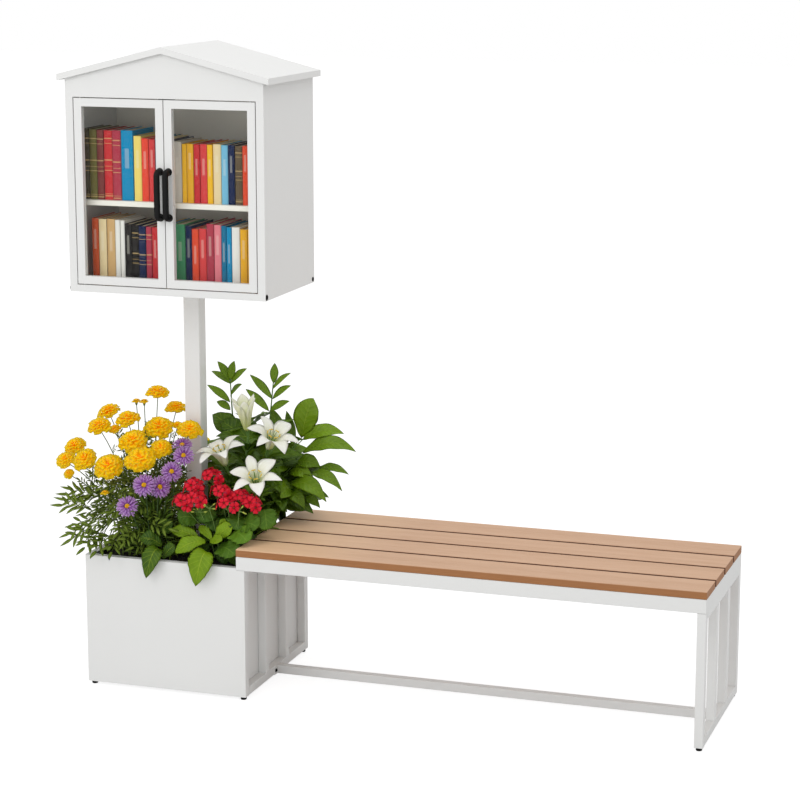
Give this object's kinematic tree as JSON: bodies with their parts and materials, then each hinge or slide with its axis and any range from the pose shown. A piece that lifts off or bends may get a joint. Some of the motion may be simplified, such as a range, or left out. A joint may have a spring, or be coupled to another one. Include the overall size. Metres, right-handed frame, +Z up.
{
  "type": "bench with planter and book cabinet",
  "caption": "Slatted steel-framed bench joined to a square sheet-metal planter, with a glazed two-door book cabinet on a post that stands in the planter.",
  "frame": {"origin": "centre of the whole object's footprint, on the ground", "axes": "+X along the seat away from the planter, +Y from the front (the cabinet's door side) to the back, +Z up"},
  "size_m": [1.9922, 0.5688, 1.878],
  "materials": {
    "white_paint": "fine-textured white powder coat, satin",
    "slat_wood": "fine lengthwise grain, matt",
    "black_plastic": "black, matt",
    "black_steel": "black oxide, satin",
    "black_handle": "black powder coat, satin",
    "clear_glass": "clear, polished",
    "potting_soil": "dark, crumbly, matt",
    "book_cloth": "plain bound books in many colours",
    "marigold": "living leaves with yellow-orange flowers",
    "aster": "living leaves with purple flowers",
    "geranium": "living leaves with red flower clusters",
    "lily": "living leaves with white flowers",
    "shrub_leaf": "glossy dark green leaves",
    "rosette_leaf": "light green leaves, satin"
  },
  "bodies": {
    "root": {"planter_shell": "white_paint", "planter_end_panel": "white_paint", "planter_floor": "white_paint", "post": "white_paint", "post_base_plate": "white_paint", "post_top_plate": "white_paint", "front_apron": "white_paint", "back_apron": "white_paint", "left_top_rail": "white_paint", "right_top_rail": "white_paint", "seat_bearer_1": "white_paint", "seat_bearer_2": "white_paint", "left_front_leg": "white_paint", "left_back_leg": "white_paint", "left_bar_1": "white_paint", "left_bar_2": "white_paint", "left_bottom_rail": "white_paint", "right_front_leg": "white_paint", "right_back_leg": "white_paint", "right_bar_1": "white_paint", "right_bar_2": "white_paint", "right_bottom_rail": "white_paint", "stretcher_plate": "white_paint", "floor_stretcher": "white_paint", "cabinet_left_side": "white_paint", "cabinet_right_side": "white_paint", "cabinet_back": "white_paint", "cabinet_floor": "white_paint", "cabinet_front_frame": "white_paint", "cabinet_roof": "white_paint", "cabinet_shelf": "white_paint", "seat_slat_1": "slat_wood", "seat_slat_2": "slat_wood", "seat_slat_3": "slat_wood", "seat_slat_4": "slat_wood", "planter_foot_front_left": "black_plastic", "planter_foot_back_left": "black_plastic", "planter_foot_front_right": "black_plastic", "planter_foot_back_right": "black_plastic", "bench_foot_front": "black_plastic", "bench_foot_back": "black_plastic", "door_catch": "black_plastic", "stretcher_bolt_front": "black_steel", "stretcher_bolt_back": "black_steel", "soil": "potting_soil", "books_upper_row": "book_cloth", "books_lower_row": "book_cloth", "marigolds": "marigold", "asters": "aster", "geraniums": "geranium", "lilies": "lily", "shrub": "shrub_leaf", "rosette": "rosette_leaf"},
    "left_door": {"left_door_frame": "white_paint", "left_door_glass": "clear_glass", "left_door_handle": "black_handle"},
    "right_door": {"right_door_frame": "white_paint", "right_door_glass": "clear_glass", "right_door_handle": "black_handle"}
  },
  "joints": [
    {"name": "left_door_hinge", "type": "hinge", "parent": "root", "child": "left_door", "pos_m": [-0.8634, -0.18722, 1.4615], "axis": [0, 0, -1], "range_deg": [0, 110]},
    {"name": "right_door_hinge", "type": "hinge", "parent": "root", "child": "right_door", "pos_m": [-0.33941, -0.18722, 1.4615], "axis": [0, 0, 1], "range_deg": [0, 110]}
  ]
}
